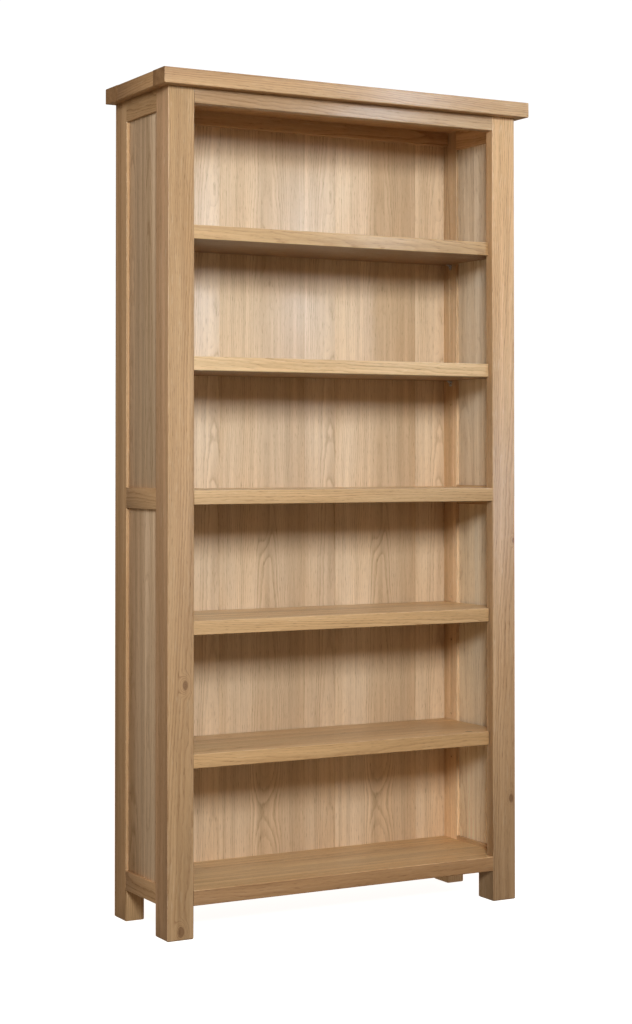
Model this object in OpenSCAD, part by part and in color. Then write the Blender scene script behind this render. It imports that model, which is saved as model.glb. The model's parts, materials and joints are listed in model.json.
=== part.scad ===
// Tall open bookcase: six bays, four adjustable shelves on metal pegs.
// Units mm. +Z up, front faces -Y, +X to the right of someone facing the front.
// Origin: centre of the footprint, on the floor.

/* [Overall size] */
// Width over the posts
body_w = 864; // [700:2:1040]
// Depth over the posts
body_d = 274; // [230:2:340]

/* [Bay clear heights] */
// Top bay
bay_1_h = 284; // [200:1:400]
// Second bay
bay_2_h = 245; // [180:1:400]
// Third bay, above the middle shelf
bay_3_h = 250; // [180:1:400]
// Fourth bay, under the middle shelf
bay_4_h = 242; // [180:1:400]
// Fifth bay
bay_5_h = 247; // [180:1:400]
// Bottom bay
bay_6_h = 249; // [180:1:400]

/* [Top board] */
// Thickness of the top board
top_t = 33; // [22:1:40]
// Overhang at each side
top_side_over = 21; // [5:1:40]
// Overhang at the front
top_front_over = 27; // [5:1:40]
// Overhang at the rear
top_rear_over = 6; // [0:1:20]
// Width of the front strip of the top
top_front_strip = 58; // [40:1:80]
// Width of the rear strip of the top
top_rear_strip = 64; // [40:1:80]
// Width of each side strip of the top
top_side_strip = 60; // [40:1:90]

/* [Posts] */
// Width of a front post
front_post_w = 60; // [45:1:80]
// Depth of a front post
front_post_d = 60; // [45:1:80]
// Depth of the full-width lip of a front post above its foot
front_lip_d = 25; // [18:1:30]
// Width of a rear post's foot
rear_post_w = 44; // [35:1:60]
// Depth of a rear post
rear_post_d = 60; // [45:1:80]
// Thickness of a post's side leg above its foot
leg_t = 18; // [16:1:24]
// Height of the solid foot under the bottom shelf
foot_h = 68; // [50:1:110]
// Radius of the eased long edges
ease_r = 2; // [1:0.5:4]

/* [Rails] */
// Height of a side top rail
side_top_rail_h = 45; // [35:1:70]
// Height of a side middle rail
side_mid_rail_h = 44; // [40:1:70]
// Drop of a side middle rail's underside below the middle shelf
side_mid_rail_drop = 10; // [0:1:20]
// Height of a side bottom rail
side_bot_rail_h = 41; // [38:1:70]
// Height of the front top rail
front_rail_h = 32; // [25:1:60]
// Depth of the front top rail
front_rail_d = 22; // [18:1:25]
// Height of the rear top rail
rear_rail_h = 31; // [25:1:60]
// Thickness of the rear top rail
rear_rail_t = 20; // [16:1:24]
// Length of the rail tenons in the posts
tenon_l = 14; // [10:1:20]

/* [Panels] */
// Thickness of a side panel
panel_t = 5; // [4:0.5:8]
// Recess of a side panel from the outer face
panel_recess = 6.5; // [4:0.5:8]
// Depth of the grooves round a side panel
groove_d = 8; // [6:0.5:10]
// Thickness of the back boards
back_t = 6; // [5:0.5:10]
// Width of the second back board
back_board_2_w = 298; // [200:1:340]
// Width of the third back board
back_board_3_w = 217; // [150:1:230]
// Joint between them, from the centre line
back_joint_off = 117; // [60:1:140]

/* [Shelves] */
// Thickness of the adjustable and middle shelves
shelf_t = 30; // [20:1:34]
// Thickness of the bottom shelf
bottom_t = 32; // [22:1:36]
// Set-back of an adjustable shelf from the post faces
shelf_setback = 14; // [6:1:16]
// Gap at each end of an adjustable shelf
shelf_gap = 2; // [1:0.5:3]

/* [Shelf pegs] */
// Diameter of a peg's pin
peg_d = 5; // [4:0.5:7]
// Depth of the blind peg holes
peg_hole_l = 10; // [8:0.5:12]
// Distance between neighbouring peg holes
peg_pitch = 50; // [25:1:64]
// Width and height of a peg's plates
peg_plate = 12; // [9:0.5:16]
// Front peg holes behind the lip
peg_front_in = 17; // [10:0.5:20]
// Rear peg holes behind the rear post's front face
peg_rear_in = 24; // [12:0.5:30]

/* [Hidden] */
$fn = 48;
floor_z = foot_h + bottom_t;
z5 = floor_z + bay_6_h;
z4 = z5 + shelf_t + bay_5_h;
middle_z = z4 + shelf_t + bay_4_h;
z2 = middle_z + shelf_t + bay_3_h;
z1 = z2 + shelf_t + bay_2_h;
inner_top = z1 + shelf_t + bay_1_h;
overall_h = inner_top + top_t;
levels = [z1, z2, z4, z5];
mid_rail_z = middle_z - side_mid_rail_drop;
side_y0 = front_post_d;
side_y1 = body_d - rear_post_d;
y_mid = (body_d + top_rear_over - top_front_over) / 2;
half_w = body_w / 2;
back_y = body_d - back_t;
back_rebate = 8;
back_tongue = 4;
joint_2 = half_w + back_joint_off;
joint_1 = joint_2 - back_board_2_w;
joint_3 = joint_2 + back_board_3_w;
back_edges = [leg_t - back_rebate, joint_1, joint_2, joint_3, body_w - leg_t + back_rebate];
peg_r = peg_d / 2;
peg_hole_r = peg_r + 0.05;
peg_plate_t = 1.5;
peg_rest = 0.3;
peg_axis_drop = peg_rest + peg_plate / 2 + 1;
peg_front_y = front_lip_d + peg_front_in;
peg_rear_y = side_y1 + peg_rear_in;
shelf_tongue_t = 10;
shelf_tongue_l = 5;
screw_r = 2;
screw_head_r = 4;
screw_sink = 9;
screw_inset = 138;
rail_tenon_t = 8;
rail_tenon_shoulder = 6;
rear_rail_tenon_l = 9;
back_tongue_t = 2;
rail_tenon_y = (front_rail_d - rail_tenon_t) / 2;
rear_tenon_in = (rear_rail_t - rail_tenon_t) / 2;
foot_ease = 2.5;

oak = [0.72, 0.55, 0.36];
oak_pale = [0.80, 0.67, 0.50];
steel = [0.66, 0.67, 0.69];

// Carcass coordinates: x from the left outer face, y from the front face.
module carcass() { translate([-half_w, -y_mid, 0]) children(); }
module sided(right) { if (right) mirror([1, 0, 0]) children(); else children(); }
module block(a, b) { translate(a) cube([b[0] - a[0], b[1] - a[1], b[2] - a[2]]); }
// Corner waste to be cut from an outline, p the corner, d the way into the stuff.
module waste(p, d, r) {
  difference() {
    translate([p[0] - (d[0] < 0 ? r : 0.5), p[1] - (d[1] < 0 ? r : 0.5)]) square([r + 0.5, r + 0.5]);
    translate([p[0] + d[0] * r, p[1] + d[1] * r]) circle(r);
  }
}
// A bar along X with its outline given in y and z.
module along_x(x0, x1) { translate([x0, 0, 0]) rotate([90, 0, 90]) linear_extrude(x1 - x0) children(); }

module foot_chamfer(x0, y0, x1, y1, c) {
  for (x = [x0, x1]) translate([x, (y0 + y1) / 2, 0]) rotate([0, 45, 0]) cube([c * 1.4142, y1 - y0 + 20, c * 1.4142], center = true);
  for (y = [y0, y1]) translate([(x0 + x1) / 2, y, 0]) rotate([45, 0, 0]) cube([x1 - x0 + 20, c * 1.4142, c * 1.4142], center = true);
}

module panel_groove_post(y0, y1) { block([panel_recess, y0, foot_h], [panel_recess + panel_t, y1, inner_top]); }

module peg_holes(y) {
  for (z = levels) for (k = [-1, 0, 1])
    translate([leg_t - peg_hole_l, y, z - peg_axis_drop + k * peg_pitch]) rotate([0, 90, 0]) cylinder(r = peg_hole_r, h = peg_hole_l + 1);
}

module side_mortises(y0, y1) {
  block([panel_recess, y0, inner_top - side_top_rail_h + groove_d + 2], [panel_recess + panel_t, y1, inner_top - 6]);
  block([panel_recess, y0, mid_rail_z + groove_d + 1], [panel_recess + panel_t, y1, mid_rail_z + side_mid_rail_h - groove_d - 1]);
  block([panel_recess, y0, foot_h + 6], [panel_recess + panel_t, y1, foot_h + side_bot_rail_h - groove_d - 1]);
}

module front_post() {
  difference() {
    union() {
      linear_extrude(foot_h) difference() {
        square([front_post_w, front_post_d]);
        waste([0, 0], [1, 1], ease_r); waste([front_post_w, 0], [-1, 1], ease_r);
        waste([0, front_post_d], [1, -1], ease_r); waste([front_post_w, front_post_d], [-1, -1], ease_r);
      }
      translate([0, 0, foot_h]) linear_extrude(inner_top - foot_h) difference() {
        union() { square([front_post_w, front_lip_d]); square([leg_t, front_post_d]); }
        waste([0, 0], [1, 1], ease_r); waste([front_post_w, 0], [-1, 1], ease_r);
        waste([front_post_w, front_lip_d], [-1, -1], ease_r / 2);
        waste([0, front_post_d], [1, -1], ease_r / 2); waste([leg_t, front_post_d], [-1, -1], ease_r / 2);
      }
    }
    foot_chamfer(0, 0, front_post_w, front_post_d, foot_ease);
    panel_groove_post(front_post_d - groove_d, front_post_d + 1);
    side_mortises(front_post_d - tenon_l, front_post_d + 1);
    peg_holes(peg_front_y);
    block([front_post_w - tenon_l, rail_tenon_y, inner_top - front_rail_h + rail_tenon_shoulder], [front_post_w + 1, rail_tenon_y + rail_tenon_t, inner_top - rail_tenon_shoulder]);
  }
}

module rear_post() {
  y0 = side_y1;
  difference() {
    union() {
      translate([0, y0, 0]) linear_extrude(foot_h) difference() {
        square([rear_post_w, rear_post_d]);
        waste([0, 0], [1, 1], ease_r); waste([rear_post_w, 0], [-1, 1], ease_r);
        waste([0, rear_post_d], [1, -1], ease_r); waste([rear_post_w, rear_post_d], [-1, -1], ease_r);
      }
      translate([0, y0, foot_h]) linear_extrude(inner_top - foot_h) difference() {
        square([leg_t, rear_post_d]);
        waste([0, 0], [1, 1], ease_r / 2); waste([leg_t, 0], [-1, 1], ease_r / 2);
        waste([0, rear_post_d], [1, -1], ease_r);
      }
    }
    foot_chamfer(0, y0, rear_post_w, body_d, foot_ease);
    panel_groove_post(y0 - 1, y0 + groove_d);
    side_mortises(y0 - 1, y0 + tenon_l);
    peg_holes(peg_rear_y);
    block([leg_t - back_rebate, back_y, foot_h], [leg_t + 1, body_d + 1, inner_top + 1]);
    block([leg_t - rear_rail_tenon_l, back_y - rear_rail_t + rear_tenon_in, inner_top - rear_rail_h + rail_tenon_shoulder], [leg_t + 1, back_y - rear_tenon_in, inner_top - rail_tenon_shoulder]);
  }
}

module side_rail_body(z0, h, groove_low, groove_high, shelf_z) {
  difference() {
    union() {
      block([0, side_y0, z0], [leg_t, side_y1, z0 + h]);
      lo = z0 + (groove_low ? groove_d + (groove_high ? 1 : 2) : 6);
      hi = z0 + h - (groove_high ? groove_d + 1 : 6);
      block([panel_recess, side_y0 - tenon_l, lo], [panel_recess + panel_t, side_y0 + 1, hi]);
      block([panel_recess, side_y1 - 1, lo], [panel_recess + panel_t, side_y1 + tenon_l, hi]);
    }
    if (groove_low) block([panel_recess, side_y0 - 1, z0 - 1], [panel_recess + panel_t, side_y1 + 1, z0 + groove_d]);
    if (groove_high) block([panel_recess, side_y0 - 1, z0 + h - groove_d], [panel_recess + panel_t, side_y1 + 1, z0 + h + 1]);
    if (shelf_z > 0) block([leg_t - shelf_tongue_l, side_y0 - 1, shelf_z - shelf_tongue_t / 2], [leg_t + 1, side_y1 + 1, shelf_z + shelf_tongue_t / 2]);
  }
}
module side_top_rail() { side_rail_body(inner_top - side_top_rail_h, side_top_rail_h, true, false, 0); }
module side_middle_rail() { side_rail_body(mid_rail_z, side_mid_rail_h, true, true, middle_z + shelf_t / 2); }
module side_bottom_rail() { side_rail_body(foot_h, side_bot_rail_h, false, true, foot_h + bottom_t / 2); }

module side_panel(z0, z1) {
  block([panel_recess, side_y0 - groove_d + 1, z0 - groove_d + 1], [panel_recess + panel_t, side_y1 + groove_d - 1, z1 + groove_d - 1]);
}
module side_panel_upper() { side_panel(mid_rail_z + side_mid_rail_h, inner_top - side_top_rail_h); }
module side_panel_lower() { side_panel(foot_h + side_bot_rail_h, mid_rail_z); }

// Fixed shelf outline seen from above: full inside width behind the lips, notched round them.
module fixed_shelf(z0, t) {
  zc = z0 + t / 2;
  difference() {
    union() {
      along_x(leg_t, body_w - leg_t) difference() {
        translate([0, z0]) square([back_y, t]);
        waste([0, z0], [1, 1], ease_r); waste([0, z0 + t], [1, -1], ease_r);
      }
      block([leg_t - shelf_tongue_l, side_y0, zc - shelf_tongue_t / 2], [leg_t + 1, side_y1, zc + shelf_tongue_t / 2]);
      block([body_w - leg_t - 1, side_y0, zc - shelf_tongue_t / 2], [body_w - leg_t + shelf_tongue_l, side_y1, zc + shelf_tongue_t / 2]);
    }
    block([-1, -1, z0 - 1], [front_post_w, front_lip_d, z0 + t + 1]);
    block([body_w - front_post_w, -1, z0 - 1], [body_w + 1, front_lip_d, z0 + t + 1]);
  }
}

module loose_shelf(z0) {
  g = shelf_gap;
  difference() {
    along_x(leg_t + g, body_w - leg_t - g) difference() {
      translate([shelf_setback, z0]) square([back_y - 3 - shelf_setback, shelf_t]);
      waste([shelf_setback, z0], [1, 1], ease_r); waste([shelf_setback, z0 + shelf_t], [1, -1], ease_r);
    }
    block([-1, -1, z0 - 1], [front_post_w + g, front_lip_d + g, z0 + shelf_t + 1]);
    block([body_w - front_post_w - g, -1, z0 - 1], [body_w + 1, front_lip_d + g, z0 + shelf_t + 1]);
  }
}

// One peg of the left side: a pin in the hole, an upright plate against the leg and a flange under the shelf.
module peg(y, z0) {
  zt = z0 - peg_rest;
  h = peg_plate / 2;
  union() {
    translate([leg_t - peg_hole_l + 1, y, z0 - peg_axis_drop]) rotate([0, 90, 0]) cylinder(r = peg_r, h = peg_hole_l - 1 + peg_plate_t);
    difference() {
      block([leg_t + 0.3, y - h, zt - peg_plate - 1], [leg_t + 0.3 + peg_plate_t, y + h, zt]);
      for (s = [-1, 1]) translate([leg_t - 2, y + s * h, zt - peg_plate - 1]) rotate([45, 0, 0]) cube([8, 4.2, 4.2], center = true) ;
    }
    block([leg_t + 0.3, y - h, zt - peg_plate_t], [leg_t + 0.3 + peg_plate, y + h, zt]);
    translate([leg_t + 0.3 + peg_plate_t, y - 0.75, zt - peg_plate_t])
      rotate([-90, 0, 0]) linear_extrude(1.5) polygon([[-0.5, -0.5], [peg_plate - 3, -0.5], [peg_plate - 3, 0], [0, peg_plate - 4], [-0.5, peg_plate - 4]]);
  }
}

module back_board(i) {
  x0 = back_edges[i];
  x1 = back_edges[i + 1];
  m = back_y + back_t / 2;
  difference() {
    union() {
      block([x0, back_y, foot_h], [x1, body_d, inner_top]);
      if (i < 3) block([x1 - 1, m - back_tongue_t / 2, foot_h], [x1 + back_tongue, m + back_tongue_t / 2, inner_top]);
    }
    if (i > 0) block([x0 - 1, m - back_tongue_t / 2, foot_h - 1], [x0 + back_tongue + 0.5, m + back_tongue_t / 2, inner_top + 1]);
  }
}

// Top board pieces. Front and rear strips run the full width, so their end grain shows at the sides.
tx0 = -top_side_over;
tx1 = body_w + top_side_over;
ty0 = -top_front_over;
ty1 = body_d + top_rear_over;
tz = inner_top + top_t / 2;
spline = 8;
module top_groove_x(y0, y1) { block([tx0 + 12, y0, tz - spline / 2], [tx1 - 12, y1, tz + spline / 2]); }
module top_front_piece() {
  difference() {
    along_x(tx0, tx1) difference() {
      translate([ty0, inner_top]) square([top_front_strip, top_t]);
      waste([ty0, inner_top], [1, 1], ease_r); waste([ty0, inner_top + top_t], [1, -1], ease_r);
    }
    top_groove_x(ty0 + top_front_strip - spline, ty0 + top_front_strip + 1);
    for (x = screw_x) screw(x, front_rail_d / 2, false);
  }
}
module top_rear_piece() {
  difference() {
    along_x(tx0, tx1) difference() {
      translate([ty1 - top_rear_strip, inner_top]) square([top_rear_strip, top_t]);
      waste([ty1, inner_top], [-1, 1], ease_r); waste([ty1, inner_top + top_t], [-1, -1], ease_r);
    }
    top_groove_x(ty1 - top_rear_strip - 1, ty1 - top_rear_strip + spline);
    for (x = screw_x) screw(x, back_y - rear_rail_t / 2, false);
  }
}
module top_side_piece() {
  ya = ty0 + top_front_strip;
  yb = ty1 - top_rear_strip;
  difference() {
    union() {
      block([tx0, ya, inner_top], [tx0 + top_side_strip, yb, inner_top + top_t]);
      block([tx0 + 12, ya - spline + 0.5, tz - spline / 2], [tx0 + top_side_strip - spline, yb + spline - 0.5, tz + spline / 2]);
    }
    block([tx0 + top_side_strip - spline, ya - spline, tz - spline / 2], [tx0 + top_side_strip + 1, yb + spline, tz + spline / 2]);
    translate([0, (ya + yb) / 2, 0]) rotate([90, 0, 0]) linear_extrude(yb - ya + 40, center = true) {
      waste([tx0, inner_top], [1, 1], ease_r); waste([tx0, inner_top + top_t], [1, -1], ease_r);
    }
  }
}
module top_field_piece() {
  ya = ty0 + top_front_strip;
  yb = ty1 - top_rear_strip;
  xa = tx0 + top_side_strip;
  xb = tx1 - top_side_strip;
  block([xa, ya, inner_top], [xb, yb, inner_top + top_t]);
  block([xa - spline + 0.5, ya - spline + 0.5, tz - spline / 2], [xb + spline - 0.5, yb + spline - 0.5, tz + spline / 2]);
}

// Screws that hold the top down: heads sunk in the underside of the top rails.
screw_x = [screw_inset, half_w, body_w - screw_inset];
rail_low = inner_top - min(front_rail_h, rear_rail_h);
module screw(x, y, head) {
  z0 = rail_low + screw_sink;
  translate([x, y, z0]) {
    cylinder(r = screw_r, h = inner_top - z0 + top_t * 0.6);
    if (head) cylinder(r1 = screw_head_r, r2 = screw_r, h = 3);
  }
}
module screw_way(x, y) {
  translate([x, y, rail_low - 20]) cylinder(r = screw_head_r, h = screw_sink + 20);
  translate([x, y, rail_low + screw_sink]) cylinder(r1 = screw_head_r, r2 = screw_r, h = 3);
  translate([x, y, rail_low + screw_sink]) cylinder(r = screw_r, h = 60);
}

module post_front_left() { color(oak) carcass() front_post(); }
module post_front_right() { color(oak) sided(true) carcass() front_post(); }
module post_rear_left() { color(oak) carcass() rear_post(); }
module post_rear_right() { color(oak) sided(true) carcass() rear_post(); }
module side_top_rail_left() { color(oak) carcass() side_top_rail(); }
module side_top_rail_right() { color(oak) sided(true) carcass() side_top_rail(); }
module side_middle_rail_left() { color(oak) carcass() side_middle_rail(); }
module side_middle_rail_right() { color(oak) sided(true) carcass() side_middle_rail(); }
module side_bottom_rail_left() { color(oak) carcass() side_bottom_rail(); }
module side_bottom_rail_right() { color(oak) sided(true) carcass() side_bottom_rail(); }
module side_panel_upper_left() { color(oak_pale) carcass() side_panel_upper(); }
module side_panel_upper_right() { color(oak_pale) sided(true) carcass() side_panel_upper(); }
module side_panel_lower_left() { color(oak_pale) carcass() side_panel_lower(); }
module side_panel_lower_right() { color(oak_pale) sided(true) carcass() side_panel_lower(); }
module front_top_rail() {
  color(oak) carcass() difference() {
    union() {
      block([front_post_w, 0, inner_top - front_rail_h], [body_w - front_post_w, front_rail_d, inner_top]);
      block([front_post_w - tenon_l, rail_tenon_y, inner_top - front_rail_h + rail_tenon_shoulder], [body_w - front_post_w + tenon_l, rail_tenon_y + rail_tenon_t, inner_top - rail_tenon_shoulder]);
    }
    along_x(front_post_w, body_w - front_post_w) waste([0, inner_top - front_rail_h], [1, 1], ease_r / 2);
    for (x = screw_x) screw_way(x, front_rail_d / 2);
  }
}
module rear_top_rail() {
  color(oak) carcass() difference() {
    union() {
      block([leg_t, back_y - rear_rail_t, inner_top - rear_rail_h], [body_w - leg_t, back_y, inner_top]);
      block([leg_t - rear_rail_tenon_l, back_y - rear_rail_t + rear_tenon_in, inner_top - rear_rail_h + rail_tenon_shoulder], [body_w - leg_t + rear_rail_tenon_l, back_y - rear_tenon_in, inner_top - rail_tenon_shoulder]);
    }
    for (x = screw_x) screw_way(x, back_y - rear_rail_t / 2);
  }
}
module back_board_1() { color(oak_pale) carcass() back_board(0); }
module back_board_2() { color(oak_pale) carcass() back_board(1); }
module back_board_3() { color(oak_pale) carcass() back_board(2); }
module back_board_4() { color(oak_pale) carcass() back_board(3); }
module top_front_strip_board() { color(oak) carcass() top_front_piece(); }
module top_rear_strip_board() { color(oak) carcass() top_rear_piece(); }
module top_side_strip_left() { color(oak) carcass() top_side_piece(); }
module top_side_strip_right() { color(oak) sided(true) carcass() top_side_piece(); }
module top_field_board() { color(oak) carcass() top_field_piece(); }
module top_screws() { color(steel) carcass() for (x = screw_x) { screw(x, front_rail_d / 2, true); screw(x, back_y - rear_rail_t / 2, true); } }
module middle_shelf() { color(oak) carcass() fixed_shelf(middle_z, shelf_t); }
module bottom_shelf() { color(oak) carcass() fixed_shelf(foot_h, bottom_t); }
module shelf_1() { color(oak) carcass() loose_shelf(z1); }
module shelf_2() { color(oak) carcass() loose_shelf(z2); }
module shelf_4() { color(oak) carcass() loose_shelf(z4); }
module shelf_5() { color(oak) carcass() loose_shelf(z5); }
module peg_1_front_left() { color(steel) carcass() peg(peg_front_y, z1); }
module peg_1_front_right() { color(steel) sided(true) carcass() peg(peg_front_y, z1); }
module peg_1_rear_left() { color(steel) carcass() peg(peg_rear_y, z1); }
module peg_1_rear_right() { color(steel) sided(true) carcass() peg(peg_rear_y, z1); }
module peg_2_front_left() { color(steel) carcass() peg(peg_front_y, z2); }
module peg_2_front_right() { color(steel) sided(true) carcass() peg(peg_front_y, z2); }
module peg_2_rear_left() { color(steel) carcass() peg(peg_rear_y, z2); }
module peg_2_rear_right() { color(steel) sided(true) carcass() peg(peg_rear_y, z2); }
module peg_4_front_left() { color(steel) carcass() peg(peg_front_y, z4); }
module peg_4_front_right() { color(steel) sided(true) carcass() peg(peg_front_y, z4); }
module peg_4_rear_left() { color(steel) carcass() peg(peg_rear_y, z4); }
module peg_4_rear_right() { color(steel) sided(true) carcass() peg(peg_rear_y, z4); }
module peg_5_front_left() { color(steel) carcass() peg(peg_front_y, z5); }
module peg_5_front_right() { color(steel) sided(true) carcass() peg(peg_front_y, z5); }
module peg_5_rear_left() { color(steel) carcass() peg(peg_rear_y, z5); }
module peg_5_rear_right() { color(steel) sided(true) carcass() peg(peg_rear_y, z5); }

post_front_left();
post_front_right();
post_rear_left();
post_rear_right();
side_top_rail_left();
side_top_rail_right();
side_middle_rail_left();
side_middle_rail_right();
side_bottom_rail_left();
side_bottom_rail_right();
side_panel_upper_left();
side_panel_upper_right();
side_panel_lower_left();
side_panel_lower_right();
front_top_rail();
rear_top_rail();
back_board_1();
back_board_2();
back_board_3();
back_board_4();
top_front_strip_board();
top_rear_strip_board();
top_side_strip_left();
top_side_strip_right();
top_field_board();
top_screws();
middle_shelf();
bottom_shelf();
shelf_1();
shelf_2();
shelf_4();
shelf_5();
peg_1_front_left();
peg_1_front_right();
peg_1_rear_left();
peg_1_rear_right();
peg_2_front_left();
peg_2_front_right();
peg_2_rear_left();
peg_2_rear_right();
peg_4_front_left();
peg_4_front_right();
peg_4_rear_left();
peg_4_rear_right();
peg_5_front_left();
peg_5_front_right();
peg_5_rear_left();
peg_5_rear_right();
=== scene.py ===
import json
import math

import bmesh
import bpy
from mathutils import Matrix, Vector


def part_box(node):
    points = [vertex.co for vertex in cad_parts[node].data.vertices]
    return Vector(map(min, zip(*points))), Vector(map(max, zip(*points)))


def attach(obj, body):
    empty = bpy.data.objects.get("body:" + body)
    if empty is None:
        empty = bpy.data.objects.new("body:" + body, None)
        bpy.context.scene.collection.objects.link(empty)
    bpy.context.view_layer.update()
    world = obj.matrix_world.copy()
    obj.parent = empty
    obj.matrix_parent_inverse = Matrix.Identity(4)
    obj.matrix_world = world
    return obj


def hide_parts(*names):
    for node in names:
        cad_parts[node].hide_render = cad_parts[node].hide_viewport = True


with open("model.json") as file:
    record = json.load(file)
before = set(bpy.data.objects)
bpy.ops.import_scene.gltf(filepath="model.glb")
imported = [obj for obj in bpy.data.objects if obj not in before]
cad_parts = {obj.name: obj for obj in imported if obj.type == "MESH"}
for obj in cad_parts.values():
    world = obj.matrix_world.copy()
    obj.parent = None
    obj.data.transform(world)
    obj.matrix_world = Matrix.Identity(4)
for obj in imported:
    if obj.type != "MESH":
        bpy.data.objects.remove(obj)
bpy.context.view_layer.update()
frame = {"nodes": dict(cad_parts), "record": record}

nodes = frame["nodes"]
record = frame["record"]
bodyOf = {node: body for body, members in record["behaviour"]["bodies"].items() for node in members}
slotOf = {part["node"]: part["material_slot"] for part in record["subparts"]}
print("frame loaded:", len(nodes), "nodes")


class Signal:
    # one output socket; arithmetic written with it adds Math nodes
    def __init__(self, bench, socket):
        self.bench = bench
        self.socket = socket

    def __add__(self, other):
        return self.bench.maths("ADD", self, other)

    def __radd__(self, other):
        return self.bench.maths("ADD", other, self)

    def __sub__(self, other):
        return self.bench.maths("SUBTRACT", self, other)

    def __rsub__(self, other):
        return self.bench.maths("SUBTRACT", other, self)

    def __mul__(self, other):
        return self.bench.maths("MULTIPLY", self, other)

    def __rmul__(self, other):
        return self.bench.maths("MULTIPLY", other, self)

    def __truediv__(self, other):
        return self.bench.maths("DIVIDE", self, other)

    def __rtruediv__(self, other):
        return self.bench.maths("DIVIDE", other, self)

    def __pow__(self, other):
        return self.bench.maths("POWER", self, other)

    def __neg__(self):
        return self.bench.maths("MULTIPLY", self, -1.0)

    def __abs__(self):
        return self.bench.maths("ABSOLUTE", self)


class Bench:
    # a node tree of a material, a world or a geometry modifier, empty at first
    def __init__(self, name=None, tree=None):
        if tree is None:
            self.material = bpy.data.materials.new(name)
            self.material.use_nodes = True
            tree = self.material.node_tree
        self.tree = tree
        self.tree.nodes.clear()

    def node(self, kind, settings=None, inputs=None, out=0):
        # settings first: "stops" fills a colour ramp with greys, "items" gives an index switch its places
        made = self.tree.nodes.new(kind)
        for key, value in (settings or {}).items():
            if key == "stops":
                ramp = made.color_ramp
                while len(ramp.elements) < len(value):
                    ramp.elements.new(0.5)
                for element, (place, grey) in zip(ramp.elements, value):
                    element.position = place
                    element.color = (grey, grey, grey, 1.0)
            elif key == "items":
                while len(made.index_switch_items) < value:
                    made.index_switch_items.new()
            else:
                setattr(made, key, value)
        for key, value in (inputs or {}).items():
            socket = made.inputs[key]
            if isinstance(value, Signal):
                self.tree.links.new(value.socket, socket)
            elif isinstance(value, list):  # a socket that takes several links
                for signal in value:
                    self.tree.links.new(signal.socket, socket)
            else:
                socket.default_value = (*value, 1.0) if socket.type == "RGBA" else value
        return Signal(self, made.outputs[out])

    def maths(self, operation, *values):
        return self.node("ShaderNodeMath", {"operation": operation}, dict(enumerate(values)))

    def parts(self, vector):
        made = self.node("ShaderNodeSeparateXYZ", None, {0: vector})
        return [Signal(self, socket) for socket in made.socket.node.outputs]

    def vector(self, x, y, z):
        return self.node("ShaderNodeCombineXYZ", None, {0: x, 1: y, 2: z})

    def noise(self, x, y, z, detail=2.0, rough=0.5):
        place = self.vector(x, y, z)
        return self.node("ShaderNodeTexNoise", {"noise_dimensions": "3D"},
                         {"Vector": place, "Scale": 1.0, "Detail": detail, "Roughness": rough})

    def rise(self, value, low, high, bottom=0.0, top=1.0):
        return self.node("ShaderNodeMapRange", {"interpolation_type": "SMOOTHSTEP"},
                         {0: value, 1: low, 2: high, 3: bottom, 4: top})

    def blend(self, amount, first, second, how="MIX"):
        return self.node("ShaderNodeMix", {"data_type": "RGBA", "blend_type": how},
                         {0: amount, 6: first, 7: second}, out=2)

    def tinted(self, colour, tone):
        return self.blend(1.0, colour, tone, how="MULTIPLY")

    def brighten(self, colour, amount):
        return self.node("ShaderNodeVectorMath", {"operation": "SCALE"}, {0: colour, 3: amount})

    def ending(self, kind, signal):
        self.tree.links.new(signal.socket, self.tree.nodes.new(kind).inputs[0])

    def finish(self, surface):
        self.ending("ShaderNodeOutputMaterial", surface)
        return self.material


# oak: the clear wood and the porous line of each ring, for each kind of board
oakTones = {
    "frame": {"clear": (0.600, 0.398, 0.216), "line": (0.350, 0.185, 0.075)},
    "panel": {"clear": (0.735, 0.562, 0.385), "line": (0.500, 0.345, 0.205)},
    "shelf": {"clear": (0.615, 0.422, 0.230), "line": (0.350, 0.185, 0.075)},
    "knot": (0.085, 0.036, 0.014),
    "knotHeart": (0.230, 0.105, 0.040),
    "golden": (1.030, 0.985, 0.915),
    "greyish": (0.990, 0.975, 0.950),
    "ray": (0.700, 0.560, 0.390),
}

# a board's own numbers, in metres where they are lengths
plainBoard = {
    "lay": "xyz",  # the axes along the grain, across the face and through the thickness
    "tone": "frame",
    "pith": (0.03, -0.07),  # the heart of the log, from the board's middle, across and through
    "lean": (0.0, 0.0),
    "ring": 0.0030,
    "taper": 0.012,
    "sway": 0.016,
    "band": 0.70,
    "stave": 0.0,  # the width of the glued staves, or none
    "staveShift": 0.0,
    "staveTone": 0.10,
    "contrast": 0.66,
    "bright": 1.0,
    "ray": 0.35,
    "knots": (),  # place along and across, size
    "eyes": (),  # place along and across, length, width, lift of the rings
    "seed": 1.0,
    "tint": (1.0, 1.0, 1.0),
    # painted light and shade: faces turned one way are made lighter or darker
    "faces": (),  # axis, side, tone
    # painted light and shade toward the floor and toward the top
    "foot": 1.0,  # brightness at the floor and at the top
    "head": 1.0,
}

# layers of noise: changes per metre along and across the grain, detail, roughness, where the seed is added
layers = {
    "sway": (0.9, 5.0, 1.5, 0.5, "across"),
    "wave": (7.0, 17.0, 2.0, 0.5, "across"),
    "ripple": (42.0, 75.0, 1.0, 0.5, "through"),
    "fibre": (9.0, 330.0, 3.0, 0.65, None),
    "streak": (2.2, 70.0, 2.0, 0.5, "through"),
    "band": (0.55, 27.0, 2.5, 0.6, "across"),
    "cloud": (1.6, 10.0, 2.0, 0.5, "through"),
    "pores": (55.0, 950.0, 1.0, 0.5, None),
}

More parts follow.
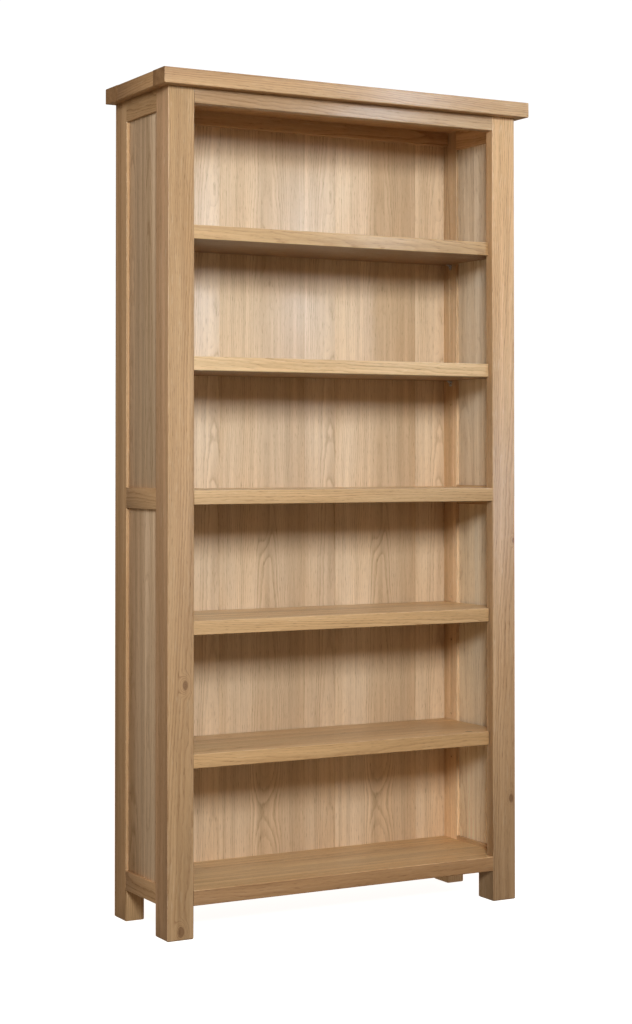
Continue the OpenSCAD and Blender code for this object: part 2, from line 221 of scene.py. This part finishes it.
# how the log grew and was sawn, the same for every board
log = {
    "seedStep": 1.7, "staveStep": 4.0, "pithSpread": 0.7, "pithLeast": 0.65,
    "wave": 0.0060, "ripple": 0.0016,
    "early": [(0.0, 0.55), (0.07, 1.0), (0.32, 0.42), (0.62, 0.08), (0.92, 0.0), (1.0, 0.55)],
    "yearPace": 0.31, "yearSeed": 3.0, "years": (0.34, 0.66), "weakYear": 0.15,
    "pores": (0.57, 0.68), "latePores": 0.25,
    "rayPlace": (26.0, 60.0, 56.0), "rays": (0.63, 0.72),
    "clouds": (0.32, 0.68), "endGrain": (0.75, 0.95),
}

knotShape = {
    "stretch": 0.62, "ragged": 0.9, "pushFrom": 0.4, "pushTo": 4.2, "push": 2.6,
    "core": (0.75, 1.15), "rimAt": 1.05, "rimWidth": 0.28, "coreDark": 0.62, "rimDark": 0.40,
    "rings": 3.1, "heart": (0.15, 0.85), "eyeRagged": 0.5,
}

# what each mark takes from the brightness, how much browner the darker wood is, and where the painted light
# and shade by facing, near the floor and near the top fade in
shading = {
    "fibre": 0.30, "streak": 0.46, "cloud": 0.25, "pore": 0.34, "endGrain": 0.24, "endFigure": 0.12,
    "green": 1.18, "blue": 1.42, "face": (0.3, 0.9), "foot": (0.0, 0.55), "head": (0.9, 1.7),
}

# the oiled surface
oiled = {
    "rough": 0.47, "fibreRough": 0.10, "poreRough": 0.22, "earlyRough": 0.05, "endRough": 0.15,
    "rayRough": 0.12, "fibreHeight": 0.35, "poreHeight": 0.9, "earlyHeight": 0.25,
    "bump": 0.45, "bumpDepth": 0.00022,
    "coat": 0.22, "coatRough": 0.24, "ior": 1.48,
}

# the back is slip-matched: one leaf of veneer figure repeats along the boards, in three strips
leaf = {
    "width": 0.298, "start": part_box("back_board_2")[0].x, "firstEdge": 0.093, "secondEdge": 0.217,
    "heart": 0.115, "otherHeart": 0.286, "jump": 3.0,
    "firstShade": 0.10, "secondShade": 0.12, "outerShade": 0.07,
}


def oakBoard(name, **wants):
    board = {**plainBoard, **wants}
    tones = oakTones[board["tone"]]
    low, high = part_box(name)
    middle = (low + high) / 2
    letters = board["lay"]
    if letters == "leaf":
        letters = "zxy"
        middle = Vector((0.0, middle.y, 0.0))
    bench = Bench("oak_" + name)
    here = bench.node("ShaderNodeTexCoord", out="Object")
    place = dict(zip("xyz", bench.parts(here)))
    along, across, through = (place[letter] - middle["xyz".index(letter)] for letter in letters)
    seed = board["seed"]
    pithSide, pithDepth = board["pith"]
    staveShade = None

    if board["lay"] == "leaf":
        turns = (across - leaf["start"]) / leaf["width"]
        number = bench.maths("FLOOR", turns)
        across = (turns - number) * leaf["width"]
        first = bench.maths("GREATER_THAN", across, leaf["firstEdge"])
        second = bench.maths("GREATER_THAN", across, leaf["secondEdge"])
        outer = bench.maths("GREATER_THAN", abs(number), 0.5)  # each leaf but the one that starts at board 2
        local = across
        run = along + second * leaf["jump"] + seed
        pithAcross = second * (leaf["otherHeart"] - leaf["heart"]) + leaf["heart"]
        pithThrough = pithDepth
        staveShade = (1.0 - first * leaf["firstShade"] + second * leaf["secondShade"]
                      + outer * leaf["outerShade"])
    elif board["stave"]:
        # a glued-up board: each stave has its own tone, place in the log and stretch of the tree
        count = (across - board["staveShift"]) / board["stave"]
        number = bench.maths("FLOOR", count)
        local = (count - number - 0.5) * board["stave"]
        dice = bench.node("ShaderNodeTexWhiteNoise", {"noise_dimensions": "1D"},
                          {"W": number + seed}, out="Color")
        chanceA, chanceB, chanceC = bench.parts(dice)
        run = along + (chanceC - 0.5) * log["staveStep"] + seed * log["seedStep"]
        pithAcross = (chanceA - 0.5) * (log["pithSpread"] * board["stave"]) + pithSide
        pithThrough = (chanceB * log["pithSpread"] + log["pithLeast"]) * pithDepth
        staveShade = 1.0 + (chanceC - 0.5) * (2.0 * board["staveTone"])
    else:
        local = across
        run = along + seed * log["seedStep"]
        pithAcross = along * board["lean"][0] + pithSide
        pithThrough = along * board["lean"][1] + pithDepth

    def layer(name):
        lengthwise, sideways, detail, rough, seeded = layers[name]
        spots = {"across": across * sideways, "through": through * sideways}
        if seeded:
            spots[seeded] = spots[seeded] + seed
        return bench.noise(run * lengthwise, spots["across"], spots["through"], detail, rough)

    def distance(first, second):
        return bench.maths("SQRT", first * first + second * second)

    # growth rings round the pith, swaying along the tree
    wave = layer("wave") - 0.5
    offSide = local - pithAcross
    offDepth = through - pithThrough
    radius = distance(offSide, offDepth)
    grown = radius + along * board["taper"] + (layer("sway") - 0.5) * (2.0 * board["sway"])
    grown = grown + wave * log["wave"] + (layer("ripple") - 0.5) * log["ripple"]

    # an eye is an island in the rings
    for eyeAlong, eyeAcross, eyeLength, eyeWidth, lift in board["eyes"]:
        away = distance((along - eyeAlong) / eyeLength, (across - eyeAcross) / eyeWidth)
        away = away + wave * knotShape["eyeRagged"]
        grown = grown + bench.rise(away, 0.0, 1.0, 1.0, 0.0) * lift

    # knots push the rings aside
    knotted = None
    for knotAlong, knotAcross, knotSize in board["knots"]:
        away = distance((along - knotAlong) * knotShape["stretch"], across - knotAcross) / knotSize
        away = away + wave * knotShape["ragged"]
        near = bench.rise(away, knotShape["pushFrom"], knotShape["pushTo"], 1.0, 0.0)
        grown = grown + near * near * (knotShape["push"] * knotSize)
        core = bench.rise(away, *knotShape["core"], 1.0, 0.0)
        rim = bench.rise(abs(away - knotShape["rimAt"]), 0.0, knotShape["rimWidth"], 1.0, 0.0)
        if knotted:
            core = bench.maths("MAXIMUM", knotted[0], core)
            rim = bench.maths("MAXIMUM", knotted[1], rim)
            away = bench.maths("MINIMUM", knotted[2], away)
        knotted = (core, rim, away)

    rings = grown / board["ring"]
    early = bench.node("ShaderNodeValToRGB", {"stops": log["early"]}, {0: bench.maths("FRACT", rings)})
    years = bench.node("ShaderNodeTexNoise", {"noise_dimensions": "1D"},
                       {"W": rings * log["yearPace"] + seed * log["yearSeed"], "Scale": 1.0, "Detail": 2.0})
    strong = bench.rise(years, *log["years"], log["weakYear"], 1.0)

    # fibres, pores and rays
    fibre = layer("fibre") - 0.5
    streak = layer("streak") - 0.5
    band = layer("band") - 0.5
    cloud = layer("cloud")
    opened = early * (1.0 - log["latePores"]) + log["latePores"]
    pore = bench.rise(layer("pores"), *log["pores"]) * opened
    rayAlong, rayOutward, rayRound = log["rayPlace"]
    turn = bench.maths("ARCTAN2", offSide, offDepth)
    rayNoise = bench.noise(run * rayAlong, radius * rayOutward, turn * rayRound, detail=1.0)
    ray = bench.rise(rayNoise, *log["rays"]) * board["ray"]

    # the cut across the fibres is darker
    normal = bench.parts(bench.node("ShaderNodeTexCoord", out="Normal"))
    endGrain = bench.rise(abs(normal["xyz".index(letters[0])]), *log["endGrain"])

    figure = early * strong * board["contrast"] + endGrain * shading["endFigure"]
    figure = bench.maths("MINIMUM", figure, 1.0)
    colour = bench.blend(figure, tones["clear"], tones["line"])
    colour = bench.blend(ray, colour, oakTones["ray"])
    warmth = bench.rise(cloud, *log["clouds"])
    colour = bench.tinted(colour, bench.blend(warmth, oakTones["golden"], oakTones["greyish"]))
    shade = 1.0 + fibre * shading["fibre"] + streak * shading["streak"] + band * board["band"]
    shade = shade + (cloud - 0.5) * shading["cloud"] - pore * shading["pore"]
    shade = shade - endGrain * shading["endGrain"]
    if staveShade:
        shade = shade * staveShade
    # darker streaks are browner and lighter ones creamier
    colour = bench.tinted(colour, bench.vector(shade, shade ** shading["green"], shade ** shading["blue"]))
    colour = bench.brighten(colour, board["bright"])
    colour = bench.tinted(colour, board["tint"])
    # painted light and shade: a face turned one way, such as a shelf's top, its underside or a post's outer
    # side, is made lighter or darker as if lit or shaded
    for axis, side, tone in board["faces"]:
        turned = bench.rise(normal[axis] * side, *shading["face"])
        colour = bench.blend(turned, colour, bench.tinted(colour, tone))
    if board["foot"] != board["head"]:
        # painted light and shade: uprights are made darker or lighter toward the floor and toward the top
        paintedFootLighting = bench.rise(place["z"], *shading["foot"], board["foot"], 1.0)
        paintedHeadLighting = bench.rise(place["z"], *shading["head"], 1.0, board["head"])
        colour = bench.brighten(colour, paintedFootLighting * paintedHeadLighting)
    if knotted:
        core, rim, away = knotted
        heart = bench.rise(bench.maths("FRACT", away * knotShape["rings"]), *knotShape["heart"])
        knot = bench.blend(heart, oakTones["knot"], oakTones["knotHeart"])
        dark = bench.maths("MINIMUM", core * knotShape["coreDark"] + rim * knotShape["rimDark"], 1.0)
        colour = bench.blend(dark, colour, knot)

    roughness = (oiled["rough"] + fibre * oiled["fibreRough"] + pore * oiled["poreRough"]
                 + early * oiled["earlyRough"] + endGrain * oiled["endRough"] - ray * oiled["rayRough"])
    height = fibre * oiled["fibreHeight"] - pore * oiled["poreHeight"] - early * oiled["earlyHeight"]
    bump = bench.node("ShaderNodeBump", None,
                      {"Strength": oiled["bump"], "Distance": oiled["bumpDepth"], "Height": height})
    surface = bench.node("ShaderNodeBsdfPrincipled", None, {
        "Base Color": colour, "Roughness": roughness, "Normal": bump,
        "Coat Weight": oiled["coat"], "Coat Roughness": oiled["coatRough"], "IOR": oiled["ior"]})
    return bench.finish(surface)


boards = {}
# panelPaintedLight: the left side's panels, seen from outside, are made darker as painted shade; the right
# side's, seen from inside, lighter as painted light
for side, seed, panelPaintedLight in (("left", 3.0, 0.95), ("right", 11.0, 1.12)):
    boards["post_front_" + side] = {"lay": "zxy", "pith": (0.055, 0.075), "lean": (0.03, 0.0),
                                    "seed": seed, "taper": 0.006, "sway": 0.012}
    boards["post_rear_" + side] = {"lay": "zyx", "pith": (0.05, 0.06), "lean": (-0.02, 0.0),
                                   "seed": seed + 1, "taper": 0.006}
    for place, step in (("top", 2), ("middle", 3), ("bottom", 4)):
        boards[f"side_{place}_rail_{side}"] = {"lay": "yzx", "pith": (0.02, 0.05), "seed": seed + step}
    for place, step in (("upper", 5), ("lower", 6)):
        boards[f"side_panel_{place}_{side}"] = {
            "lay": "zyx", "tone": "panel", "pith": (0.0, 0.06), "stave": 0.078, "staveShift": 0.01,
            "seed": seed + step, "contrast": 0.8, "bright": panelPaintedLight, "band": 0.95}
# the left front post: painted light on its outer side, and painted shade toward the floor
boards["post_front_left"].update({
    "bright": 0.88, "foot": 0.95, "faces": ((0, -1.0, (1.36, 1.38, 1.52)),),
    "knots": ((-0.866, 0.001, 0.0060), (-0.3585, 0.010, 0.0060))})
# the right front post: painted highlight toward the top and painted shade toward the floor
boards["post_front_right"].update({
    "tint": (0.99, 1.00, 1.05), "foot": 0.74, "head": 1.18,
    "knots": ((-0.656, 0.019, 0.0050), (-0.075, 0.026, 0.0035))})
# the right rear post: painted light, brighter and bluer, lighter toward the floor and darker toward the top
boards["post_rear_right"].update({"bright": 1.23, "tint": (1.0, 1.07, 1.20), "foot": 1.35, "head": 0.72})
boards["side_panel_upper_left"].update({"band": 1.35, "bright": 0.92})
# the right side's panels: painted cool light, brighter and bluer
boards["side_panel_upper_right"].update({
    "band": 0.40, "contrast": 0.55, "bright": 1.04, "tint": (1.0, 1.13, 1.30)})
boards["side_panel_lower_right"].update({
    "band": 0.40, "contrast": 0.55, "bright": 1.22, "tint": (1.0, 1.14, 1.28), "foot": 1.18})
boards["front_top_rail"] = {"lay": "xzy", "pith": (-0.03, 0.05), "seed": 21.0, "tint": (0.74, 0.70, 0.66)}
boards["rear_top_rail"] = {"lay": "xzy", "pith": (0.01, 0.045), "seed": 22.0, "bright": 0.95}
backEyes = (
    (1.430, 0.115, 0.150, 0.045, 0.0060), (0.843, 0.114, 0.090, 0.022, 0.0068),
    (0.505, 0.165, 0.060, 0.035, 0.0070), (0.200, 0.120, 0.110, 0.060, 0.0090),
    (1.590, 0.286, 0.060, 0.018, 0.0055), (1.270, 0.280, 0.070, 0.020, 0.0050))
for number in (1, 2, 3, 4):
    # the back boards get painted light toward the floor
    boards[f"back_board_{number}"] = {
        "lay": "leaf", "tone": "panel", "pith": (0.0, 0.050), "seed": 31.0, "ring": 0.0036, "sway": 0.020,
        "taper": 0.016, "bright": 0.965, "band": 0.26, "foot": 1.12, "eyes": backEyes, "ray": 0.25}
for part, lay, seed in (("front_strip_board", "xyz", 41.0), ("rear_strip_board", "xyz", 42.0),
                        ("side_strip_left", "yxz", 43.0), ("side_strip_right", "yxz", 44.0)):
    boards["top_" + part] = {"lay": lay, "pith": (0.03, -0.05), "seed": seed, "tint": (0.92, 0.88, 0.84)}
boards["top_field_board"] = {"lay": "xyz", "pith": (0.0, -0.06), "stave": 0.062, "seed": 45.0}
# painted shade on the shelves' undersides; the shelves' tops below carry painted light
paintedUnderShade = (2, -1.0, (0.45, 0.40, 0.38))
# each shelf's tint; the bottom shelf's darker tint is painted shade near the floor
for shelf, seed, tint in (("shelf_1", 51.0, (1.0, 0.98, 0.93)), ("shelf_2", 52.0, (1.20, 1.25, 1.30)),
                          ("middle_shelf", 53.0, (1.05, 1.05, 1.04)), ("shelf_4", 54.0, (1.07, 1.04, 0.98)),
                          ("shelf_5", 55.0, (0.96, 0.88, 0.76)), ("bottom_shelf", 56.0, (0.78, 0.69, 0.64))):
    boards[shelf] = {
        "lay": "xyz", "tone": "shelf", "pith": (0.035, -0.02), "stave": 0.083, "staveShift": 0.012,
        "staveTone": 0.05, "seed": seed, "sway": 0.026, "contrast": 0.46, "band": 0.45, "tint": tint,
        "faces": ((2, 1.0, (1.38, 1.55, 1.78)), paintedUnderShade)}
boards["shelf_2"]["faces"] = ((2, 1.0, (1.18, 1.30, 1.45)), paintedUnderShade)
boards["bottom_shelf"]["faces"] = ((2, 1.0, (1.85, 2.20, 2.35)),)
boards["shelf_4"]["knots"] = ((-0.180, -0.106, 0.0026),)
boards["shelf_5"]["knots"] = ((0.330, -0.104, 0.0050),)


def addPiece(name, mesh, body, slot, *replaced):
    piece = bpy.data.objects.new(name, mesh)
    bpy.context.scene.collection.objects.link(piece)
    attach(piece, body)
    if replaced:
        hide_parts(*replaced)
    return piece


def settled(piece):
    # the evaluated shape as a plain mesh, with its modifiers taken off
    seen = piece.evaluated_get(bpy.context.evaluated_depsgraph_get())
    mesh = bpy.data.meshes.new_from_object(seen)
    piece.modifiers.clear()
    return mesh


smoothAngle = 28.0  # degrees, the same for wood and steel


def coated(mesh, material):
    mesh.materials.clear()
    mesh.materials.append(material)
    mesh.polygons.foreach_set("material_index", [0] * len(mesh.polygons))
    mesh.shade_smooth()
    mesh.set_sharp_from_angle(angle=math.radians(smoothAngle))
    return mesh


# the arris taken off a board's long sharp edges; lengths in metres, angles in degrees
woodEdge = {"arris": 0.0006, "segments": 2, "shortest": 0.003, "sharp": 50.0, "merge": 1e-6, "flat": 0.5}


def easedBoard(node, material):
    mesh = nodes[node].data.copy()
    work = bmesh.new()
    work.from_mesh(mesh)
    bmesh.ops.remove_doubles(work, verts=work.verts, dist=woodEdge["merge"])
    flat = math.radians(woodEdge["flat"])
    bmesh.ops.dissolve_limit(work, angle_limit=flat, verts=work.verts, edges=work.edges)
    weight = work.edges.layers.float.new("bevel_weight_edge")
    for edge in work.edges:
        if len(edge.link_faces) == 2 and edge.calc_length() > woodEdge["shortest"]:
            if edge.calc_face_angle() > math.radians(woodEdge["sharp"]):
                edge[weight] = 1.0
    work.to_mesh(mesh)
    work.free()
    draft = bpy.data.objects.new("draft", mesh)
    bpy.context.scene.collection.objects.link(draft)
    bevel = draft.modifiers.new("arris", "BEVEL")
    bevel.limit_method = "WEIGHT"
    bevel.width = woodEdge["arris"]
    bevel.segments = woodEdge["segments"]
    result = settled(draft)
    bpy.data.objects.remove(draft)
    return coated(result, material)


for name, wants in boards.items():
    addPiece(name + "_eased", easedBoard(name, oakBoard(name, **wants)), bodyOf[name], slotOf[name], name)
print("oak boards:", len(boards))

# plated steel: fine brush marks, and worn spots that are duller
plating = {
    "brush": (900.0, 2600.0, 900.0), "wear": 160.0, "dull": (0.48, 0.72), "brushShade": 0.22,
    "dullShade": 0.18, "dullMetal": 0.15, "dullRough": 0.18, "brushRough": 0.12,
    "bump": 0.3, "bumpDepth": 0.00005,
}
metalEdge = {"arris": 0.00018, "segments": 2, "sharp": 40.0, "merge": 0.00001}


def plated(name, colour, rough):
    bench = Bench(name)
    spots = bench.parts(bench.node("ShaderNodeTexCoord", out="Object"))
    brush = bench.noise(*(spot * pace for spot, pace in zip(spots, plating["brush"])), detail=2.0) - 0.5
    wear = bench.noise(*(spot * plating["wear"] for spot in spots), detail=3.0)
    dull = bench.rise(wear, *plating["dull"])
    tone = bench.brighten(colour, 1.0 + brush * plating["brushShade"] - dull * plating["dullShade"])
    bump = bench.node("ShaderNodeBump", None,
                      {"Strength": plating["bump"], "Distance": plating["bumpDepth"], "Height": brush})
    roughness = rough + dull * plating["dullRough"] + brush * plating["brushRough"]
    metallic = 1.0 - dull * plating["dullMetal"]
    return bench.finish(bench.node("ShaderNodeBsdfPrincipled", None, {
        "Base Color": tone, "Metallic": metallic, "Roughness": roughness, "Normal": bump}))


class Shaper(Bench):
    # a geometry tree with a named input for each size
    def __init__(self, name, sizes):
        super().__init__(tree=bpy.data.node_groups.new(name, "GeometryNodeTree"))
        self.sizes = sizes
        self.sockets = {}
        interface = self.tree.interface
        interface.new_socket("Geometry", in_out="OUTPUT", socket_type="NodeSocketGeometry")
        kinds = {tuple: "NodeSocketVector", int: "NodeSocketInt", float: "NodeSocketFloat"}
        for label, value in sizes.items():
            self.sockets[label] = interface.new_socket(label, in_out="INPUT", socket_type=kinds[type(value)])
        entry = self.tree.nodes.new("NodeGroupInput")
        self.given = {label: Signal(self, entry.outputs[label]) for label in sizes}

    def plate(self, corners, thick, turn=(0.0, 0.0, 0.0)):
        # a flat outline drawn in x and y, made thick along z, then turned
        line = self.node("GeometryNodeMeshLine", {"mode": "OFFSET"}, {"Count": len(corners)})
        spots = {number + 1: self.vector(x, y, 0.0) for number, (x, y) in enumerate(corners)}
        spot = self.node("GeometryNodeIndexSwitch", {"data_type": "VECTOR", "items": len(corners)},
                         {"Index": self.node("GeometryNodeInputIndex"), **spots})
        placed = self.node("GeometryNodeSetPosition", None, {"Geometry": line, "Position": spot})
        curve = self.node("GeometryNodeMeshToCurve", None, {"Mesh": placed})
        ring = self.node("GeometryNodeSetSplineCyclic", None, {"Geometry": curve, "Cyclic": True})
        flat = self.node("GeometryNodeFillCurve", None, {"Curve": ring})
        raised = self.node("GeometryNodeExtrudeMesh", {"mode": "FACES"}, {
            "Mesh": flat, "Offset": self.vector(0.0, 0.0, 1.0), "Offset Scale": thick, "Individual": False})
        both = self.join(raised, self.node("GeometryNodeFlipFaces", None, {"Mesh": flat}))
        closed = self.node("GeometryNodeMergeByDistance", None,
                           {"Geometry": both, "Distance": metalEdge["merge"]})
        return self.moved(closed, turn=turn)

    def join(self, *shapes):
        return self.node("GeometryNodeJoinGeometry", None, {0: list(reversed(shapes))})

    def moved(self, shape, place=(0.0, 0.0, 0.0), turn=(0.0, 0.0, 0.0)):
        return self.node("GeometryNodeTransform", None,
                         {"Geometry": shape, "Translation": place, "Rotation": turn})

    def close(self, shape, material):
        self.material = material
        plain = self.node("GeometryNodeRealizeInstances", None, {"Geometry": shape})
        painted = self.node("GeometryNodeSetMaterial", None, {"Geometry": plain, "Material": material})
        self.ending("NodeGroupOutput", painted)

    def make(self, **changes):
        draft = bpy.data.objects.new("draft", bpy.data.meshes.new("draft"))
        bpy.context.scene.collection.objects.link(draft)
        shape = draft.modifiers.new("shape", "NODES")
        shape.node_group = self.tree
        for label, value in {**self.sizes, **changes}.items():
            shape[self.sockets[label].identifier] = value
        rounding = draft.modifiers.new("arris", "BEVEL")
        rounding.limit_method = "ANGLE"
        rounding.angle_limit = math.radians(metalEdge["sharp"])
        rounding.width = metalEdge["arris"]
        rounding.segments = metalEdge["segments"]
        mesh = settled(draft)
        bpy.data.objects.remove(draft)
        return coated(mesh, self.material)


# a shelf peg of the left side: the back of its upright is at x = 0 and the top of its flange at z = 0
pegSizes = {
    "pinRadius": 0.0025, "pinLength": 0.009, "pinDrop": 0.007, "pinSides": 28, "pinSteps": 17,
    "noseShare": 0.07, "noseWidth": 0.66,  # the share of the pin that narrows, and how narrow its tip is
    "width": 0.012, "height": 0.013, "sheet": 0.0015, "reach": 0.012, "corner": 0.003,
    "web": 0.0015, "webShort": 0.0022, "webFoot": 0.0035,
    "spot": (0.0, 0.0, 0.0), "turn": (0.0, 0.0, 0.0),
}
tipRoom = 0.0003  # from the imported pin's tip to this one's
nickel = plated("peg_nickel", (0.66, 0.68, 0.72), 0.26)
peg = Shaper("shelfPeg", pegSizes)
given = peg.given
half = given["width"] * 0.5
foot = -given["height"]
cut = given["corner"]
sheet = given["sheet"]
reach = given["reach"]
core = sheet * 0.5  # the middle of the upright's thickness
webEnd = given["webFoot"] - given["height"]
quarter = math.pi / 2
upright = peg.plate([(-half, 0.0), (-half, foot + cut), (cut - half, foot), (half - cut, foot),
                     (half, foot + cut), (half, 0.0)], sheet, (quarter, 0.0, quarter))
flange = peg.plate([(core, -half), (reach - cut, -half), (reach, cut - half), (reach, half - cut),
                    (reach - cut, half), (core, half)], sheet)
flange = peg.moved(flange, peg.vector(0.0, 0.0, -sheet))
web = peg.plate([(core, -core), (reach - given["webShort"], -sheet * 0.9), (sheet, webEnd), (core, webEnd)],
                given["web"], (quarter, 0.0, 0.0))
web = peg.moved(web, peg.vector(0.0, given["web"] * 0.5, 0.0))
axle = peg.node("GeometryNodeCurvePrimitiveLine", None,
                {"Start": peg.vector(-given["pinLength"], 0.0, 0.0), "End": peg.vector(core, 0.0, 0.0)})
axle = peg.node("GeometryNodeResampleCurve", None, {"Curve": axle, "Count": given["pinSteps"]})
travelled = peg.node("GeometryNodeSplineParameter")
nose = peg.node("ShaderNodeMapRange", None,
                {0: travelled, 1: 0.0, 2: given["noseShare"], 3: given["noseWidth"], 4: 1.0})
axle = peg.node("GeometryNodeSetCurveRadius", None, {"Curve": axle, "Radius": nose})
section = peg.node("GeometryNodeCurvePrimitiveCircle", None,
                   {"Resolution": given["pinSides"], "Radius": given["pinRadius"]})
pin = peg.node("GeometryNodeCurveToMesh", None,
               {"Curve": axle, "Profile Curve": section, "Scale": nose, "Fill Caps": True})
pin = peg.moved(pin, peg.vector(0.0, 0.0, -given["pinDrop"]))
peg.close(peg.moved(peg.join(upright, flange, web, pin), given["spot"], given["turn"]), nickel)
pegNodes = sorted(node for node in nodes if node.startswith("peg_"))
for name in pegNodes:
    low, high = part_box(name)
    inset = pegSizes["pinLength"] + tipRoom
    if name.endswith("left"):
        back = low.x + inset
        facing = 0.0
    else:
        back = high.x - inset
        facing = math.pi
    mesh = peg.make(spot=(back, (low.y + high.y) / 2, high.z), turn=(0.0, 0.0, facing))
    addPiece(name + "_pressed", mesh, bodyOf[name], slotOf[name], name)
print("shelf pegs:", len(pegNodes))

# the screws that hold the top down, with a cross recess in each head, standing head down on z = 0
screwSizes = {
    "length": 0.043, "shank": 0.002, "shankSides": 24, "rooted": 0.0002,
    "head": 0.004, "headSides": 40, "sunk": 0.003,
    "recess": 0.0042, "recessWidth": 0.0009, "recessDepth": 0.0013,
    "spreadX": 0.6, "spreadY": 0.2, "countX": 3, "countY": 2, "spot": (0.0, 0.0, 0.0),
}
zinc = plated("screw_zinc", (0.58, 0.57, 0.54), 0.34)
screw = Shaper("topScrew", screwSizes)
given = screw.given
straight = given["length"] - given["sunk"] + given["rooted"]
shank = screw.node("GeometryNodeMeshCylinder", None,
                   {"Vertices": given["shankSides"], "Radius": given["shank"], "Depth": straight})
shank = screw.moved(shank, screw.vector(0.0, 0.0, given["length"] - straight * 0.5))
head = screw.node("GeometryNodeMeshCone", None, {
    "Vertices": given["headSides"], "Radius Top": given["shank"], "Radius Bottom": given["head"],
    "Depth": given["sunk"]})
deep = given["recessDepth"] * 2.0
bars = [screw.node("GeometryNodeMeshCube", None, {"Size": size}) for size in (
    screw.vector(given["recess"], given["recessWidth"], deep),
    screw.vector(given["recessWidth"], given["recess"], deep))]
cross = screw.node("GeometryNodeMeshBoolean", {"operation": "DIFFERENCE", "solver": "EXACT"},
                   {"Mesh 1": head, "Mesh 2": bars, "Self Intersection": True})
grid = screw.node("GeometryNodeMeshGrid", None, {
    "Size X": given["spreadX"], "Size Y": given["spreadY"], "Vertices X": given["countX"],
    "Vertices Y": given["countY"]})
one = screw.join(cross, shank)
many = screw.node("GeometryNodeInstanceOnPoints", None, {"Points": grid, "Instance": one})
screw.close(screw.moved(many, given["spot"]), zinc)
low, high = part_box("top_screws")
span = high - low
headWide = 2 * screwSizes["head"]
mesh = screw.make(length=span.z, spreadX=span.x - headWide, spreadY=span.y - headWide,
                  spot=((low.x + high.x) / 2, (low.y + high.y) / 2, low.z))
addPiece("top_screws_cross", mesh, bodyOf["top_screws"], slotOf["top_screws"], "top_screws")
print("top screws: one piece")

view = {
    "place": (-2.1904, -3.9253, 0.9949), "turn": 28.724, "tilt": 0.965,
    "lens": 71.20, "sensor": 36.0, "shift": (0.0102, -0.0859),
}
camera = bpy.data.cameras.new("camera")
camera.lens = view["lens"]
camera.sensor_width = view["sensor"]
camera.shift_x, camera.shift_y = view["shift"]
cameraObject = bpy.data.objects.new("camera", camera)
cameraObject.location = view["place"]
cameraObject.rotation_euler = (math.radians(90 + view["tilt"]), 0.0, -math.radians(view["turn"]))
bpy.context.scene.collection.objects.link(cameraObject)
bpy.context.scene.camera = cameraObject

# white where the camera looks; the wood itself stands in a soft warm light, a little stronger from above
studio = {
    "around": (0.205, 0.163, 0.115), "above": (0.330, 0.185, 0.125), "seen": 1.05,
    "floor": 0.9, "floorRough": 0.9, "floorGlow": 0.92, "floorReach": 40.0,
}
white = (1.0, 1.0, 1.0)
grey = studio["floor"]
floorBench = Bench("floor_white")
floorShader = floorBench.node("ShaderNodeBsdfPrincipled", None, {
    "Base Color": (grey, grey, grey), "Roughness": studio["floorRough"], "Emission Color": white,
    "Emission Strength": studio["floorGlow"]})
far = studio["floorReach"]
floorMesh = bpy.data.meshes.new("floor")
floorMesh.from_pydata([(-far, -far, 0), (far, -far, 0), (far, far, 0), (-far, far, 0)], [], [(0, 1, 2, 3)])
floorMesh.materials.append(floorBench.finish(floorShader))
floor = bpy.data.objects.new("floor", floorMesh)
floor.visible_diffuse = False
floor.visible_glossy = False
bpy.context.scene.collection.objects.link(floor)

world = bpy.data.worlds.new("studio")
world.use_nodes = True
bpy.context.scene.world = world
room = Bench(tree=world.node_tree)
height = room.parts(room.node("ShaderNodeTexCoord", out="Generated"))[2]
glow = room.blend(room.rise(height, 0.0, 1.0), studio["around"], studio["above"])
ambient = room.node("ShaderNodeBackground", None, {"Color": glow})
seen = room.node("ShaderNodeBackground", None, {"Color": white, "Strength": studio["seen"]})
cameraRay = room.node("ShaderNodeLightPath", out="Is Camera Ray")
sky = room.node("ShaderNodeMixShader", None, {0: cameraRay, 1: ambient, 2: seen})
room.ending("ShaderNodeOutputWorld", sky)

lamps = {
    "key": {"place": (-1.95, -4.4, 2.5), "aim": (0.0, 0.0, 1.45), "size": 1.0, "power": 44.0,
            "colour": (0.97, 1.0, 1.0), "spread": 90},
    "fill": {"place": (2.5, -3.4, 2.2), "aim": (0.3, 0.0, 1.7), "size": 0.8, "power": 4.6,
             "colour": (0.62, 0.76, 1.0), "spread": 70},
    "sheen": {"place": (2.6, -3.2, 2.7), "aim": (0.5, 0.0, 2.0), "size": 0.6, "power": 1.8,
              "colour": (0.60, 0.82, 1.0), "spread": 32},
}
for name, lamp in lamps.items():
    light = bpy.data.lights.new(name, "AREA")
    light.shape = "SQUARE"
    light.size = lamp["size"]
    light.energy = lamp["power"]
    light.color = lamp["colour"]
    light.spread = math.radians(lamp["spread"])
    lightObject = bpy.data.objects.new(name, light)
    lightObject.location = lamp["place"]
    aim = Vector(lamp["aim"]) - Vector(lamp["place"])
    lightObject.rotation_euler = aim.to_track_quat("-Z", "Y").to_euler()
    bpy.context.scene.collection.objects.link(lightObject)
bpy.context.scene.view_settings.view_transform = "Standard"
print("light and camera set")
